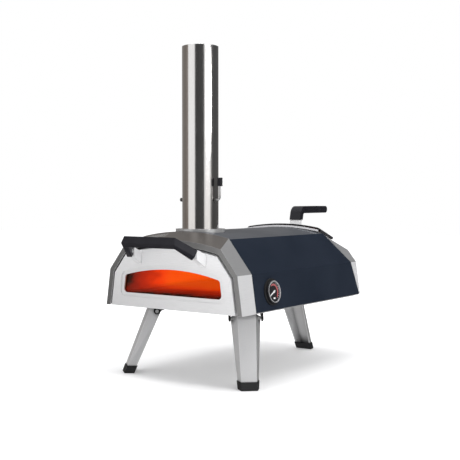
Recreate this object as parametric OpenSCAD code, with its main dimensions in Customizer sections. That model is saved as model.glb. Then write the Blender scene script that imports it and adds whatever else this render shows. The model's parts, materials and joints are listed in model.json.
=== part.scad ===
// Portable wood fired pizza oven on three folding legs.
// The door faces -Y, +X is on the right of someone facing the door, +Z is up.
// The origin is on the floor, in the centre plane, under the rear foot.
// The pieces are drawn with y = 0 at the body's front edge, and stand() moves them back.

/* [Body] */
// Width across the bottom edge of the body
body_w = 400; // [398:1:402]
// Height of the body's underside above the floor
body_z = 171; // [169:1:173]
// Width across the side creases
knee_w = 374.4; // [373:0.1:376]
// Height of the side creases
knee_z = 258.5; // [257:0.5:260]
// Width across the two creases that bound the roof
top_w = 253; // [250:1:256]
// Height of those roof creases
top_z = 334.7; // [333:0.1:336]
// Height of the arched roof in the centre plane
crown_z = 350; // [349:0.5:351]
// Front to back length of the steel front collar
collar_d = 55; // [52:1:58]
// Height of the collar's front edge in the centre plane
nose_z = 332.3; // [330:0.1:334]
// Width of the collar's flat front rim
rim_w = 12.5; // [11:0.5:13]
// Distance from the front edge to the rear face
rear_y = 556; // [554:1:558]
// Slope of the rear roof facet, in degrees
rear_slope = 23.5; // [22:0.5:25]
// Thickness of the painted shell
skin = 1.2; // [1:0.1:1.5]

/* [Door] */
// Distance from the body's outline in to the door's edge
door_inset = 18; // [17:0.5:19]
// Width of the window along its bottom edge
window_w = 290; // [280:1:296]
// Height of the window's bottom edge above the floor
window_z = 204; // [203:0.5:206]
// Height of the window's arch in the centre plane
window_top = 263.7; // [260:0.1:266]
// Height of the handle bar's centre line
grip_z = 330; // [328:1:332]
// Distance of the handle bar in front of the body
grip_y = 72; // [70:1:73]

/* [Chimney] */
// Outer radius of the chimney tube
flue_r = 43.3; // [42.5:0.1:44]
// Distance from the front edge to the chimney's axis
flue_y = 113.2; // [110:0.1:116]
// Height of the chimney's top edge
flue_top = 786.6; // [700:0.1:800]
// Height of the damper's shaft
damper_z = 424; // [422:1:430]

/* [Hatch] */
// Slope of the fuel hatch's lid, in degrees
lid_slope = 28; // [27:0.5:29]
// Height of the hatch handle's arm
strap_z = 405.5; // [403:0.5:408]
// Distance from the front edge to the tip of the hatch handle
strap_tip_y = 699; // [690:1:705]

/* [Legs] */
// Splay of the front legs from the vertical, in degrees
front_splay = 22.7; // [22:0.1:24]
// Splay of the rear leg from the vertical, in degrees
rear_splay = 25; // [24:0.5:26]
// Turn of the front legs from straight ahead, in degrees
leg_turn = 40.5; // [39:0.5:42]
// Distance of the legs' hinges below the body
hinge_drop = 19; // [18.5:0.5:20]

/* [Inside] */
// Side of the square baking stone
stone_w = 338; // [330:1:338]
// Thickness of the baking stone
stone_t = 15; // [13:0.5:15]
// Thickness of the insulation, shell to liner
wall_gap = 24; // [23.5:0.1:24.5]
// Spacing of the bars of the fuel grate
bar_pitch = 15; // [14:0.5:18]

/* [Thermometer] */
// Outer radius of the bezel
bezel_r = 26.5; // [25:0.5:28]
// Distance from the front edge to the dial's centre
dial_y = 126; // [120:1:140]
// Height of the dial's centre
dial_z = 214; // [211:1:217]

/* [Hidden] */
$fn = 64;
slit = 0.2;            // gap between fixed pieces that touch
run = 0.05;            // radial running clearance of a shaft
far = 700;             // longer than the body
base_hw = body_w / 2;
knee_hw = knee_w / 2;
top_hw = top_w / 2;
low_lean = atan((base_hw - knee_hw) / (knee_z - body_z));
high_lean = atan((knee_hw - top_hw) / (top_z - knee_z));
roof_sag = crown_z - top_z;
roof_r = (top_hw * top_hw + roof_sag * roof_sag) / (2 * roof_sag);
nose_slope = atan((crown_z - nose_z) / collar_d);
nose_r = 620;
slope_r = 600;
slope_y = 474;         // where the roof turns down to the rear
roof_over = crown_z + 8;

// Rear edge of the painted shell, seen from the side
shell_end = [[549.5, body_z], [523.9, knee_z], [481, top_z], [470, roof_over]];

base_t = 2;
shell_z = body_z + base_t + slit;
collar_t = 2;
rear_inset = skin + 0.3;
rear_t = 1.5;
rear_rim_w = 12;

mouth_y = 14;          // front face of the mouth frame
mouth_t = 1.5;
liner_t = 1.5;
liner_in = wall_gap + liner_t;
stone_y = 34;
stone_z = 188;
tray_t = 1.8;
baffle_y = 378;
baffle_top = 252;

door_face = -1.5;
door_t = 2.2;
door_back = 8;
door_z = body_z + 0.5;
window_hw = window_w / 2;
window_top_hw = window_hw - 6;
window_side_z = 246;
step_w = 9;
glass_y = door_face + 5.3;
glass_t = 4;
pin_y = 4.6;
pin_z = body_z + 6.2;
pin_r = 2;
ear_x = 168;
ear_t = 4;

flue_t = 1.2;
duct_r = flue_r - flue_t - run;
duct_t = 1.2;
duct_low = crown_z - wall_gap - 6;
flange_r = 59;
flange_top = crown_z + 5;
shaft_r = 2.5;
bush_r = 4.5;
plate_r = flue_r - flue_t - 1.5;
lever_x = 57.5;
lever_bend = 8;
knob_z = damper_z + 32;
knob_h = 20;
knob_r = 6.75;

lid_y = 486;
lid_z = 359;
lid_r = 600;
lid_t = 2.5;
lid_skirt = 6.5;
lid_hw = 113;
lid_back_hw = 137;
lid_back = 46;
lid_mid = 72;
lid_arc_r = (lid_back_hw * lid_back_hw + pow(lid_mid - lid_back, 2)) / (2 * (lid_mid - lid_back));
lid_pin = [4, -7.4];
lid_pin_r = 1.3;
lid_knuckle_r = 2.6;
lip_hw = 118;
chute_hw = 92;
chute_y = [18, 60];
strap_w = 34;
strap_h = 19.5;
strap_low = 368;
strap_lean = 13;
post_y = 544.5;
post_z = 330;

hinge_z = body_z - hinge_drop;
front_reach = hinge_z * tan(front_splay);
foot_x = 179;
foot_y = 56.5;
rear_foot_y = 606;
leg_pin_r = 3;
leg_hinges = [
    [-(foot_x - front_reach * sin(leg_turn)), foot_y + front_reach * cos(leg_turn), hinge_z],
    [foot_x - front_reach * sin(leg_turn), foot_y + front_reach * cos(leg_turn), hinge_z],
    [0, rear_foot_y - hinge_z * tan(rear_splay), hinge_z]
];
leg_splays = [front_splay, front_splay, rear_splay];
leg_heads = [180 - leg_turn, 180 + leg_turn, 0];
foot_top = 18;
leg_t = 2.6;
leg_above = 6;         // how far a leg runs above its pin
ear_gap = 36;
ear_w = 3.5;

fire_hw = 108;
fire_y = [392, 548];
fire_top = 262;
fire_t = 1.5;
grate_z = 206.4;
pan_z = 177;
pan_h = 23;
pan_hw = 98;
vent_r = 6;
vent_pitch = 30;
vent_z = 190;
plate_y = rear_y + 0.6;

// The thermometer stands square to the lower side facet
dial_x = base_hw - tan(low_lean) * (dial_z - body_z);

/* ---- Outlines ---- */

// Half-widths of the outline at height z, a distance t inside the outer face
function low_x(t, z) = base_hw - t / cos(low_lean) - tan(low_lean) * (z - body_z);
function high_x(t, z) = knee_hw - t / cos(high_lean) - tan(high_lean) * (z - knee_z);
function bend_z(t) = (high_x(t, 0) - low_x(t, 0)) / (tan(high_lean) - tan(low_lean));

// Faceted sides of the body from z0 up, to be closed by one of the roofs
function side_outline(t, z0) = [
    [-low_x(t, z0), z0], [low_x(t, z0), z0],
    [low_x(t, bend_z(t)), bend_z(t)], [high_x(t, roof_over), roof_over],
    [-high_x(t, roof_over), roof_over], [-low_x(t, bend_z(t)), bend_z(t)]
];

function unit(v) = v / norm(v);
function turn(a) = (a + 540) % 360 - 180;

// Corner b between a and c, rounded to radius r
function fillet(a, b, c, r, n = 6) =
    r <= 0 ? [b] :
    let (
        u = unit(a - b),
        v = unit(c - b),
        half = acos(u * v) / 2,
        mid = b + unit(u + v) * r / sin(half),
        p = b + u * r / tan(half) - mid,
        q = b + v * r / tan(half) - mid,
        a0 = atan2(p[1], p[0]),
        sweep = turn(atan2(q[1], q[0]) - a0)
    )
    [for (i = [0 : n]) mid + r * [cos(a0 + sweep * i / n), sin(a0 + sweep * i / n)]];

// Outline with corner i rounded to radii[i]
function rounded(p, radii, n = 6) =
    let (m = len(p))
    [for (i = [0 : m - 1]) each fillet(p[(i + m - 1) % m], p[i], p[(i + 1) % m], radii[i], n)];

// Heights along an arch of half-width hw that rises to top from side
function arch_z(x, hw, side, top) =
    let (s = top - side, r = (hw * hw + s * s) / (2 * s))
    top - r + sqrt(r * r - x * x);

// Window outline grown by g: arched top, rounded corners
function window_outline(g, steps = 16) =
    let (
        hw = window_hw + g,
        th = window_top_hw + g,
        side = window_side_z + g * 0.6,
        top = window_top + g,
        arch = [for (i = [0 : steps]) let (x = th - 2 * th * i / steps) [x, arch_z(x, th, side, top)]],
        r = 9 + g / 2
    )
    rounded(
        concat([[-hw, window_z - g], [hw, window_z - g]], arch),
        concat([r, r, r * 0.9], [for (i = [1 : steps - 1]) 0], [r * 0.9])
    );

/* ---- Solids that many pieces share ---- */

// 2-D shape in (x, z), drawn out along Y
module along_y(y0, y1) {
    translate([0, y1, 0]) rotate([90, 0, 0]) linear_extrude(y1 - y0) children();
}

// 2-D shape in (y, z), drawn out along X
module along_x(x0, x1) {
    translate([x0, 0, 0]) rotate([90, 0, 90]) linear_extrude(x1 - x0) children();
}

module box(lo, hi) {
    translate(lo) cube(hi - lo);
}

module rod_x(r, x0, x1, at = [0, 0]) {
    translate([x0, at[0], at[1]]) rotate([0, 90, 0]) cylinder(r = r, h = x1 - x0);
}

module rod_y(r, y0, y1, at = [0, 0]) {
    translate([at[0], y1, at[1]]) rotate([90, 0, 0]) cylinder(r = r, h = y1 - y0);
}

// Long rod along Y whose highest line is at z = 0
module roof_curve(r, t) {
    translate([0, far, -r]) rotate([90, 0, 0]) cylinder(r = r - t, h = 2 * far, $fn = 240);
}

module nose_curve(t) {
    translate([0, collar_d, crown_z]) rotate([nose_slope, 0, 0]) roof_curve(nose_r, t);
}

module on_slope() {
    translate([0, slope_y, crown_z]) rotate([-rear_slope, 0, 0]) children();
}

module on_lid() {
    translate([0, lid_y, lid_z]) rotate([-lid_slope, 0, 0]) children();
}

// Body section t inside the outer face, from y0 to y1, open below z0
module body_prism(t, y0, y1, z0 = body_z) {
    intersection() {
        along_y(y0, y1) polygon(side_outline(t, z0));
        translate([0, 0, crown_z]) roof_curve(roof_r, t);
    }
}

module front_prism(t, y0, y1, z0 = body_z) {
    intersection() {
        along_y(y0, y1) polygon(side_outline(t, z0));
        nose_curve(t);
    }
}

module rear_prism(t, y0, y1, z0 = body_z) {
    intersection() {
        body_prism(t, y0, y1, z0);
        on_slope() roof_curve(slope_r, t);
    }
}

// Everything in front of the shell's rear edge, moved back by shift
module before_shell_end(shift) {
    along_x(-base_hw - 20, base_hw + 20) polygon(concat(
        [[0, body_z - 20], [shell_end[0][0] + shift, body_z - 20]],
        [for (p = shell_end) [p[0] + shift, p[1]]],
        [[0, roof_over]]
    ));
}

module on_dial() {
    translate([dial_x, dial_y, dial_z]) rotate([0, 90 - low_lean, 0]) children();
}

module countersunk_screw(len, head_r = 3.5, head_h = 2, r = 1.9) {
    cylinder(r = head_r, h = head_h, $fn = 32);
    translate([0, 0, -len]) cylinder(r = r, h = len + head_h / 2, $fn = 32);
}

/* ---- Body ---- */

module base_plate() {
    color([0.62, 0.63, 0.64])
    difference() {
        base_sheet();
        for (hinge = [0 : 2]) leg_frame(hinge) bracket_screw_places() cylinder(r = 2, h = 60, center = true);
    }
}

module base_sheet() {
    wide = base_hw - 0.6;
    narrow = base_hw - 4;
    union() {
        box([-narrow, mouth_y, body_z], [narrow, rear_y - 5, body_z + base_t]);
        box([-wide, collar_d + slit, body_z], [wide, 520, body_z + base_t]);
    }
}

module body_shell() {
    color([0.17, 0.19, 0.25])
    difference() {
        intersection() {
            body_prism(0, collar_d + slit, 560, shell_z);
            before_shell_end(0);
        }
        body_prism(skin, 0, 600, body_z - 5);
        translate([0, flue_y, crown_z - 20]) cylinder(r = duct_r + 0.6, h = 40);
        on_dial() cylinder(r = 6, h = 30, center = true);
    }
}

module front_collar() {
    bars = 7;
    bar_gap = 9;
    color([0.56, 0.56, 0.57])
    union() {
        difference() {
            front_prism(0, 0, collar_d);
            front_prism(collar_t, 2.5, collar_d + 1, body_z - 5);
            front_prism(rim_w, -1, 3, body_z - 5);
        }
        // Raised bars pressed into the sloping top
        intersection() {
            for (i = [0 : bars - 1])
                translate([-96 + i * bar_gap, 22, crown_z - 40]) cube([3, 18, 60]);
            difference() {
                nose_curve(-0.7);
                nose_curve(1);
            }
        }
    }
}

module rear_collar() {
    tuck = -17;
    color([0.58, 0.58, 0.6])
    difference() {
        union() {
            difference() {
                rear_prism(rear_inset, 440, rear_y, shell_z);
                rear_prism(rear_inset + rear_t, 430, rear_y + 1, body_z - 5);
                before_shell_end(tuck);
            }
            difference() {
                rear_prism(rear_inset, rear_y - 2, rear_y, shell_z);
                rear_prism(rear_rim_w, rear_y - 3, rear_y + 1, body_z - 5);
            }
        }
        on_slope() box([-chute_hw - 2, chute_y[0] - 2, -30], [chute_hw + 2, chute_y[1] + 2, 20]);
    }
}

module rear_cover() {
    y0 = rear_y - 4;
    y1 = rear_y - 2 - slit;
    color([0.55, 0.55, 0.57])
    difference() {
        rear_prism(rear_inset + rear_t + 0.4, y0, y1, shell_z);
        box([-pan_hw - 3, y0 - 1, body_z - 5], [pan_hw + 3, y1 + 1, pan_z + pan_h + 3]);
        rear_screw_places() cylinder(r = 2, h = 20, center = true);
        // Two rows of cooling slots
        for (row = [0 : 1], i = [-4 : 4])
            box([i * 20 - 6, y0 - 1, 238 + row * 14], [i * 20 + 6, y1 + 1, 242 + row * 14]);
    }
}

module rear_screw_places() {
    for (side = [-1, 1]) {
        for (z = [190, 246])
            translate([side * 168, rear_y - 2 - slit, z]) rotate([-90, 0, 0]) children();
        translate([side * 110, rear_y - 2 - slit, 282]) rotate([-90, 0, 0]) children();
    }
}

module body_screws() {
    color("silver")
    union() {
        rear_screw_places() countersunk_screw(5);
        for (hinge = [0 : 2])
            leg_frame(hinge) bracket_screw_places()
                translate([0, 0, hinge_drop - 3]) rotate([180, 0, 0]) countersunk_screw(4.6);
    }
}

module inner_liner() {
    color([0.6, 0.6, 0.6])
    difference() {
        rear_prism(wall_gap, mouth_y + mouth_t + slit, rear_y - 8, shell_z);
        rear_prism(liner_in, 0, 600, body_z - 5);
        translate([0, flue_y, crown_z - 60]) cylinder(r = duct_r + 0.3, h = 90);
        on_slope() box([-chute_hw - 3, 8, -90], [chute_hw + 3, chute_y[1] + 3, 20]);
        on_dial() cylinder(r = 4, h = 120, center = true);
    }
}

module insulation_blanket() {
    color([0.93, 0.92, 0.88])
    difference() {
        intersection() {
            rear_prism(rear_inset + rear_t + 0.6, mouth_y + mouth_t + slit, rear_y - 8, shell_z);
            nose_curve(collar_t + 0.4);
        }
        rear_prism(wall_gap - slit, 0, 600, body_z - 5);
        translate([0, flue_y, crown_z - 60]) cylinder(r = duct_r + 0.8, h = 90);
        on_slope() box([-chute_hw - 3, 8, -90], [chute_hw + 3, chute_y[1] + 3, 20]);
        on_dial() cylinder(r = 12, h = 32, center = true);
        on_dial() cylinder(r = 4.5, h = 120, center = true);
    }
}

module floor_insulation() {
    color([0.88, 0.86, 0.8])
    box([-168, mouth_y + mouth_t + 1, body_z + base_t + slit], [168, baffle_y - 2, stone_z - tray_t - slit]);
}

module stone_tray() {
    low = stone_z - tray_t;
    end_y = stone_y + stone_w + 2;
    color([0.6, 0.6, 0.62])
    union() {
        box([-168.5, stone_y - 2, low], [168.5, end_y, stone_z - 0.6]);
        box([-168.5, stone_y - 2.8, low], [168.5, stone_y - 1.4, stone_z + 6]);
    }
}

module pizza_stone() {
    h = stone_w / 2;
    corner = 8;
    color([0.78, 0.7, 0.58])
    translate([0, stone_y + h, stone_z])
    linear_extrude(stone_t)
    polygon(rounded([[-h, -h], [h, -h], [h, h], [-h, h]], [corner, corner, corner, corner]));
}

module mouth_frame() {
    color([0.5, 0.5, 0.5])
    difference() {
        front_prism(collar_t + 0.3, mouth_y, mouth_y + mouth_t, shell_z);
        along_y(mouth_y - 1, mouth_y + mouth_t + 1) polygon(window_outline(6));
    }
}

module door_seal() {
    low = body_z + 15;
    color([0.05, 0.05, 0.05])
    difference() {
        front_prism(rim_w + 0.5, mouth_y - 4, mouth_y - slit, low);
        front_prism(rim_w + 12, mouth_y - 5, mouth_y + 1, low + 7);
    }
}

module door_magnets() {
    color([0.15, 0.15, 0.16])
    for (side = [-1, 1])
        box([side * 60 - 9, mouth_y - 4.4, 289], [side * 60 + 9, mouth_y - slit, 298]);
}

module flame_baffle() {
    color([0.45, 0.44, 0.43])
    difference() {
        intersection() {
            body_prism(liner_in + 0.3, baffle_y, baffle_y + 2, shell_z);
            box([-base_hw, baffle_y - 5, body_z], [base_hw, baffle_y + 5, baffle_top]);
        }
        for (i = [-4 : 4])
            box([i * 32 - 10, baffle_y - 1, baffle_top - 22], [i * 32 + 10, baffle_y + 3, baffle_top - 16]);
    }
}

/* ---- Fire ---- */

module firebox() {
    y0 = fire_y[0];
    y1 = fire_y[1];
    low = body_z + base_t + slit;
    color([0.4, 0.4, 0.41])
    union() {
        difference() {
            box([-fire_hw, y0, low], [fire_hw, y1, fire_top]);
            box([-fire_hw + fire_t, y0 + fire_t, low + fire_t], [fire_hw - fire_t, y1 - fire_t, fire_top + 1]);
            box([-pan_hw - 1.5, y1 - 5, low + fire_t], [pan_hw + 1.5, y1 + 1, pan_z + pan_h + 1.5]);
            // Air slots over the grate
            for (i = [-3 : 3])
                box([i * 28 - 9, y0 - 1, grate_z + 14], [i * 28 + 9, y0 + fire_t + 1, grate_z + 20]);
        }
        for (side = [-1, 1]) {
            x = side * (fire_hw - fire_t);
            box([min(x, x - side * 5), y0 + 1, grate_z - 2], [max(x, x - side * 5), y1 - 1, grate_z - slit]);
        }
    }
}

module fuel_grate() {
    half = fire_hw - fire_t - 0.6;
    bars = floor((half - 8) / bar_pitch);
    y0 = fire_y[0] + fire_t + 0.6;
    y1 = fire_y[1] - fire_t - 0.6;
    color([0.2, 0.2, 0.2])
    union() {
        for (i = [-bars : bars]) box([i * bar_pitch - 2.5, y0 + 1, grate_z], [i * bar_pitch + 2.5, y1 - 1, grate_z + 7]);
        box([-half, y0, grate_z], [half, y0 + 6, grate_z + 6]);
        box([-half, y1 - 6, grate_z], [half, y1, grate_z + 6]);
        for (side = [-1, 1])
            box([side * (half - 3) - 3, y0, grate_z], [side * (half - 3) + 3, y1, grate_z + 6]);
    }
}

module ash_drawer() {
    y0 = fire_y[0] + 6;
    front_hw = 108;
    rail_hw = 92;
    color([0.56, 0.56, 0.58])
    difference() {
        union() {
            difference() {
                box([-pan_hw, y0, pan_z], [pan_hw, plate_y + 1, pan_z + pan_h]);
                box([-pan_hw + 1.2, y0 + 1.2, pan_z + 1.2], [pan_hw - 1.2, plate_y + 0.2, pan_z + pan_h + 1]);
            }
            box([-front_hw, plate_y, body_z + 3], [front_hw, plate_y + 2, 224]);
            for (side = [-1, 1]) {
                z = vent_z + side * 11;
                box([-rail_hw, plate_y + 1, z - 1], [rail_hw, plate_y + 5, z + 1]);
                box([-rail_hw, plate_y + 4, min(z, z - side * 3)], [rail_hw, plate_y + 5, max(z, z - side * 3)]);
            }
        }
        vent_holes(plate_y - 3, plate_y + 3);
    }
}

module vent_holes(y0, y1) {
    for (i = [-2 : 2]) rod_y(vent_r, y0, y1, [i * vent_pitch, vent_z]);
}

module vent_shutter() {
    half_h = 9.7;
    color([0.5, 0.5, 0.52])
    union() {
        difference() {
            box([-80, plate_y + 2 + slit, vent_z - half_h], [74, plate_y + 3.7, vent_z + half_h]);
            vent_holes(plate_y, plate_y + 6);
        }
        rod_y(3, plate_y + 3, plate_y + 14, [-73, vent_z]);
        rod_y(5, plate_y + 10, plate_y + 18, [-73, vent_z]);
    }
}

module drawer_pull() {
    z = 214;
    y1 = plate_y + 20;
    color([0.1, 0.1, 0.11])
    union() {
        for (side = [-1, 1]) rod_y(4, plate_y + 2, y1, [side * 34, z]);
        rod_x(6, -44, 44, [y1, z]);
    }
}

/* ---- Door ---- */

module door_panel() {
    lug_t = 3;
    color([0.87, 0.87, 0.88])
    difference() {
        union() {
            difference() {
                front_prism(door_inset, door_face, door_back, door_z);
                front_prism(door_inset + 2, door_face + door_t, door_back + 1, door_z + 2);
            }
            along_y(door_face, door_face + 4.7) polygon(window_outline(13));
            for (side = [-1, 1], x = [ear_x - 0.4 - lug_t, ear_x + ear_t + 0.4])
                translate([side > 0 ? x : -x - lug_t, 0, 0]) door_lug(lug_t);
        }
        along_y(door_face - 1, door_face + 2.3) polygon(window_outline(step_w));
        along_y(door_face - 1, door_face + 6) polygon(window_outline(0));
        rod_x(pin_r + run, -ear_x - 20, ear_x + 20, [pin_y, pin_z]);
        // Slots that the hinge ears stand in
        for (side = [-1, 1])
            box([side * (ear_x + ear_t / 2) - ear_t / 2 - 0.4, door_face + door_t, door_z - 1],
                [side * (ear_x + ear_t / 2) + ear_t / 2 + 0.4, door_back + 1, door_z + 3]);
    }
}

module door_lug(t) {
    box([0, door_face + 1, door_z + 1], [t, pin_y + 3.4, pin_z + 3.6]);
}

module door_hinge_pins() {
    color("silver")
    for (side = [-1, 1])
        rod_x(pin_r, side * (ear_x + ear_t / 2) - 5.2, side * (ear_x + ear_t / 2) + 5.2, [pin_y, pin_z]);
}

module door_hinge_brackets() {
    color([0.3, 0.3, 0.31])
    for (side = [-1, 1])
        difference() {
            union() {
                translate([side * (ear_x + ear_t / 2) - ear_t / 2, 0, 0])
                    box([0, pin_y, pin_z - 3.6], [ear_t, mouth_y - slit, pin_z + 3.6]);
                rod_x(3.6, side * (ear_x + ear_t / 2) - ear_t / 2, side * (ear_x + ear_t / 2) + ear_t / 2, [pin_y, pin_z]);
                box([side * (ear_x + ear_t / 2) - 8, mouth_y - 1.6, pin_z - 3], [side * (ear_x + ear_t / 2) + 8, mouth_y - slit, pin_z + 8]);
            }
            rod_x(pin_r + run, -ear_x - 20, ear_x + 20, [pin_y, pin_z]);
        }
}

module door_glass() {
    color([0.9, 0.6, 0.4, 0.4])
    along_y(glass_y, glass_y + glass_t) polygon(window_outline(step_w));
}

module glass_gasket() {
    color([0.1, 0.1, 0.1])
    difference() {
        along_y(door_face + 4.7 + 0.05, glass_y - 0.05) polygon(window_outline(step_w));
        along_y(door_face, glass_y + 1) polygon(window_outline(2));
    }
}

module glass_retainer() {
    y1 = glass_y + glass_t;
    color([0.55, 0.55, 0.56])
    union() {
        difference() {
            along_y(y1 + 0.05, y1 + 1.2) polygon(window_outline(16));
            along_y(y1 - 1, y1 + 2) polygon(window_outline(3));
        }
        difference() {
            along_y(door_face + door_t + 0.05, y1 + 1.2) polygon(window_outline(16));
            along_y(door_face, y1 + 2) polygon(window_outline(13.4));
        }
    }
}

// Section of the handle bar about its own centre: a ridge runs along the front
function grip_section(wider = 1) =
    [for (p = [[7, 10], [-3, 12], [-9.5, -3.5], [-5, -13], [6, -13], [8.5, -6]]) [p[0] * wider, p[1]]];

grip_half = 72;
grip_end = [94.5, -32.6, 302.8];
grip_drop = 33;        // the arms fall and turn back by these angles
grip_turn = 58;
boss_y = -28;

module grip_slice(at, angles, wider = 1) {
    translate(at) rotate(angles) rotate([90, 0, 90])
        linear_extrude(0.2, center = true) polygon(grip_section(wider));
}

// Slice along the mitre where the bar turns into an arm
module grip_mitre() {
    grip_slice([grip_half, -grip_y, grip_z], [0, 0, grip_turn / 2], 1 / cos(grip_turn / 2));
}

module each_side() {
    for (side = [0, 1]) mirror([side, 0, 0]) children();
}

module door_handle() {
    color([0.25, 0.25, 0.27])
    difference() {
        union() {
            hull() each_side() grip_mitre();
            each_side() hull() {
                grip_mitre();
                grip_slice(grip_end, [0, grip_drop, grip_turn]);
            }
        }
        each_side() {
            box([70, boss_y - 0.1, 260], [125, 0, 340]);
            box([88.9, -40.1, 299.9], [95.1, boss_y + 1, 312.1]);
        }
        handle_screw_places() {
            translate([0, 0, -13]) cylinder(r = 2.1, h = 14);
            cylinder(r = 4.5, h = 30);
        }
    }
}

// Under the heads on the inner sides of the arms, +Z out of the arm
module handle_screw_places() {
    each_side() translate([84.6, -36, 306]) rotate([0, -90, 0]) children();
}

module door_handle_brackets() {
    color([0.85, 0.85, 0.86])
    difference() {
        each_side() union() {
            hull() {
                translate([94.5, 0, 289]) along_y(door_face - 1.2, door_face - 0.1) square([17, 28], center = true);
                translate([91.5, 0, 303]) along_y(boss_y, boss_y + 1) square([13, 22], center = true);
            }
            box([89, -40, 300], [95, boss_y + 1, 312]);
        }
        handle_screw_places() translate([0, 0, -40]) cylinder(r = 2.05, h = 60);
    }
}

module door_handle_screws() {
    color("silver")
    handle_screw_places() {
        cylinder(r = 3.9, h = 2, $fn = 32);
        translate([0, 0, -12]) cylinder(r = 2, h = 13, $fn = 32);
    }
}

/* ---- Chimney and damper ---- */

module chimney_flange() {
    color([0.7, 0.7, 0.71])
    difference() {
        translate([0, flue_y, 0]) union() {
            translate([0, 0, crown_z - 12]) cylinder(r = flange_r, h = flange_top - crown_z + 12, $fn = 96);
            translate([0, 0, duct_low]) cylinder(r = duct_r, h = 378 - duct_low, $fn = 96);
        }
        difference() {
            translate([0, 0, crown_z]) roof_curve(roof_r, -0.15);
            translate([0, flue_y, 0]) cylinder(r = duct_r, h = far, $fn = 96);
        }
        translate([0, flue_y, 0]) cylinder(r = duct_r - duct_t, h = far, $fn = 96);
    }
}

module chimney_tube() {
    low = flange_top + slit;
    color([0.72, 0.71, 0.7])
    difference() {
        translate([0, flue_y, low]) cylinder(r = flue_r, h = flue_top - low, $fn = 128);
        translate([0, flue_y, low - 1]) cylinder(r = flue_r - flue_t, h = far, $fn = 128);
        rod_x(bush_r + 0.05, -flue_r - 5, flue_r + 5, [flue_y, damper_z]);
    }
}

module damper_bushes() {
    color([0.35, 0.35, 0.36])
    for (side = [-1, 1])
        difference() {
            union() {
                rod_x(bush_r, side * 43 - 2.2, side * 43 + 2.2, [flue_y, damper_z]);
                rod_x(bush_r + 2, side * 44.8 - 0.8, side * 44.8 + 0.8, [flue_y, damper_z]);
            }
            rod_x(shaft_r + run, -60, 60, [flue_y, damper_z]);
            // The flange's inner face follows the tube
            intersection() {
                translate([0, flue_y, damper_z - 12]) cylinder(r = flue_r + 0.1, h = 24, $fn = 128);
                difference() {
                    rod_x(bush_r + 5, -60, 60, [flue_y, damper_z]);
                    rod_x(bush_r, -60, 60, [flue_y, damper_z]);
                }
            }
        }
}

module damper_plate() {
    color([0.5, 0.5, 0.5])
    translate([0, flue_y, damper_z])
    difference() {
        rod_y(plate_r, shaft_r + 0.1, shaft_r + 1.5);
        for (x = [-20, 20]) rod_y(1.7, 0, 10, [x, 0]);
    }
}

module damper_rod() {
    turn_x = lever_x - lever_bend;
    color([0.75, 0.75, 0.76])
    translate([0, flue_y, damper_z])
    difference() {
        union() {
            rod_x(shaft_r, -57, turn_x);
            translate([turn_x, 0, lever_bend]) rotate([90, 0, 0]) bend_quarter();
            translate([lever_x, 0, lever_bend]) cylinder(r = shaft_r, h = knob_z + 8 - damper_z - lever_bend);
        }
        for (x = [-20, 20]) rod_y(1.7, -5, 5, [x, 0]);
    }
}

// Quarter ring in the (x, z) plane, from straight down to straight right of its centre
module bend_quarter() {
    intersection() {
        rotate_extrude($fn = 96) translate([lever_bend, 0]) circle(r = shaft_r, $fn = 48);
        translate([0, -20, -10]) cube([20, 20, 20]);
    }
}

module damper_knob() {
    grooves = 5;
    color([0.12, 0.12, 0.13])
    translate([lever_x, flue_y, knob_z])
    difference() {
        rotate_extrude() polygon(concat(
            [[0, 0], [knob_r - 1, 0], [knob_r, 1]],
            [for (i = [0 : grooves - 1], p = [[0, 2], [-1, 2.6], [-1, 3.6], [0, 4.2]])
                [knob_r + p[0], p[1] + i * 3.3]],
            [[knob_r, knob_h - 1.5], [knob_r - 1.5, knob_h], [0, knob_h]]
        ));
        translate([0, 0, -1]) cylinder(r = shaft_r + 0.05, h = 9.2);
    }
}

module damper_clip() {
    color([0.3, 0.3, 0.3])
    translate([0, flue_y, damper_z])
    difference() {
        rod_x(4.5, -59, -50);
        rod_x(shaft_r + 0.05, -57.1, -40);
    }
}

module damper_screws() {
    color("silver")
    translate([0, flue_y, damper_z])
    for (x = [-20, 20]) {
        rod_y(1.6, -shaft_r - 0.5, shaft_r + 2, [x, 0]);
        rod_y(3, shaft_r + 1.6, shaft_r + 3.2, [x, 0]);
    }
}

/* ---- Fuel hatch ---- */

// Lid outline in its own plane: wider at the rear, where the edge is an arc
module lid_outline(g) {
    centre = lid_mid - lid_arc_r;
    intersection() {
        polygon(rounded([
            [-lid_hw - g, -g], [lid_hw + g, -g],
            [lid_back_hw + g, lid_back + 2], [lid_back_hw + g, lid_mid + g],
            [-lid_back_hw - g, lid_mid + g], [-lid_back_hw - g, lid_back + 2]
        ], [7, 7, 0, 0, 0, 0]));
        translate([0, centre]) circle(r = lid_arc_r + g, $fn = 240);
    }
}

module fuel_hatch() {
    color([0.12, 0.12, 0.14])
    on_lid()
    difference() {
        union() {
            intersection() {
                translate([0, 0, -60]) linear_extrude(90) lid_outline(0);
                difference() {
                    roof_curve(lid_r, 0);
                    roof_curve(lid_r, lid_t);
                }
            }
            lid_rim();
            lid_knuckles();
        }
        rod_x(lid_pin_r + run, -80, 80, lid_pin);
        lid_screw_places() cylinder(r = 2.1, h = 30, center = true);
    }
}

// Turned-down edge: shallow in front, and open where the hinge ears stand
module lid_rim() {
    difference() {
        intersection() {
            translate([0, 0, -60]) linear_extrude(90) difference() {
                lid_outline(0);
                lid_outline(-2.5);
            }
            difference() {
                roof_curve(lid_r, 1);
                roof_curve(lid_r, lid_skirt);
            }
        }
        box([-200, -1, -40], [200, 8, -5]);
        box([-50, -1, -40], [50, 8, -2]);
    }
}

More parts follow.
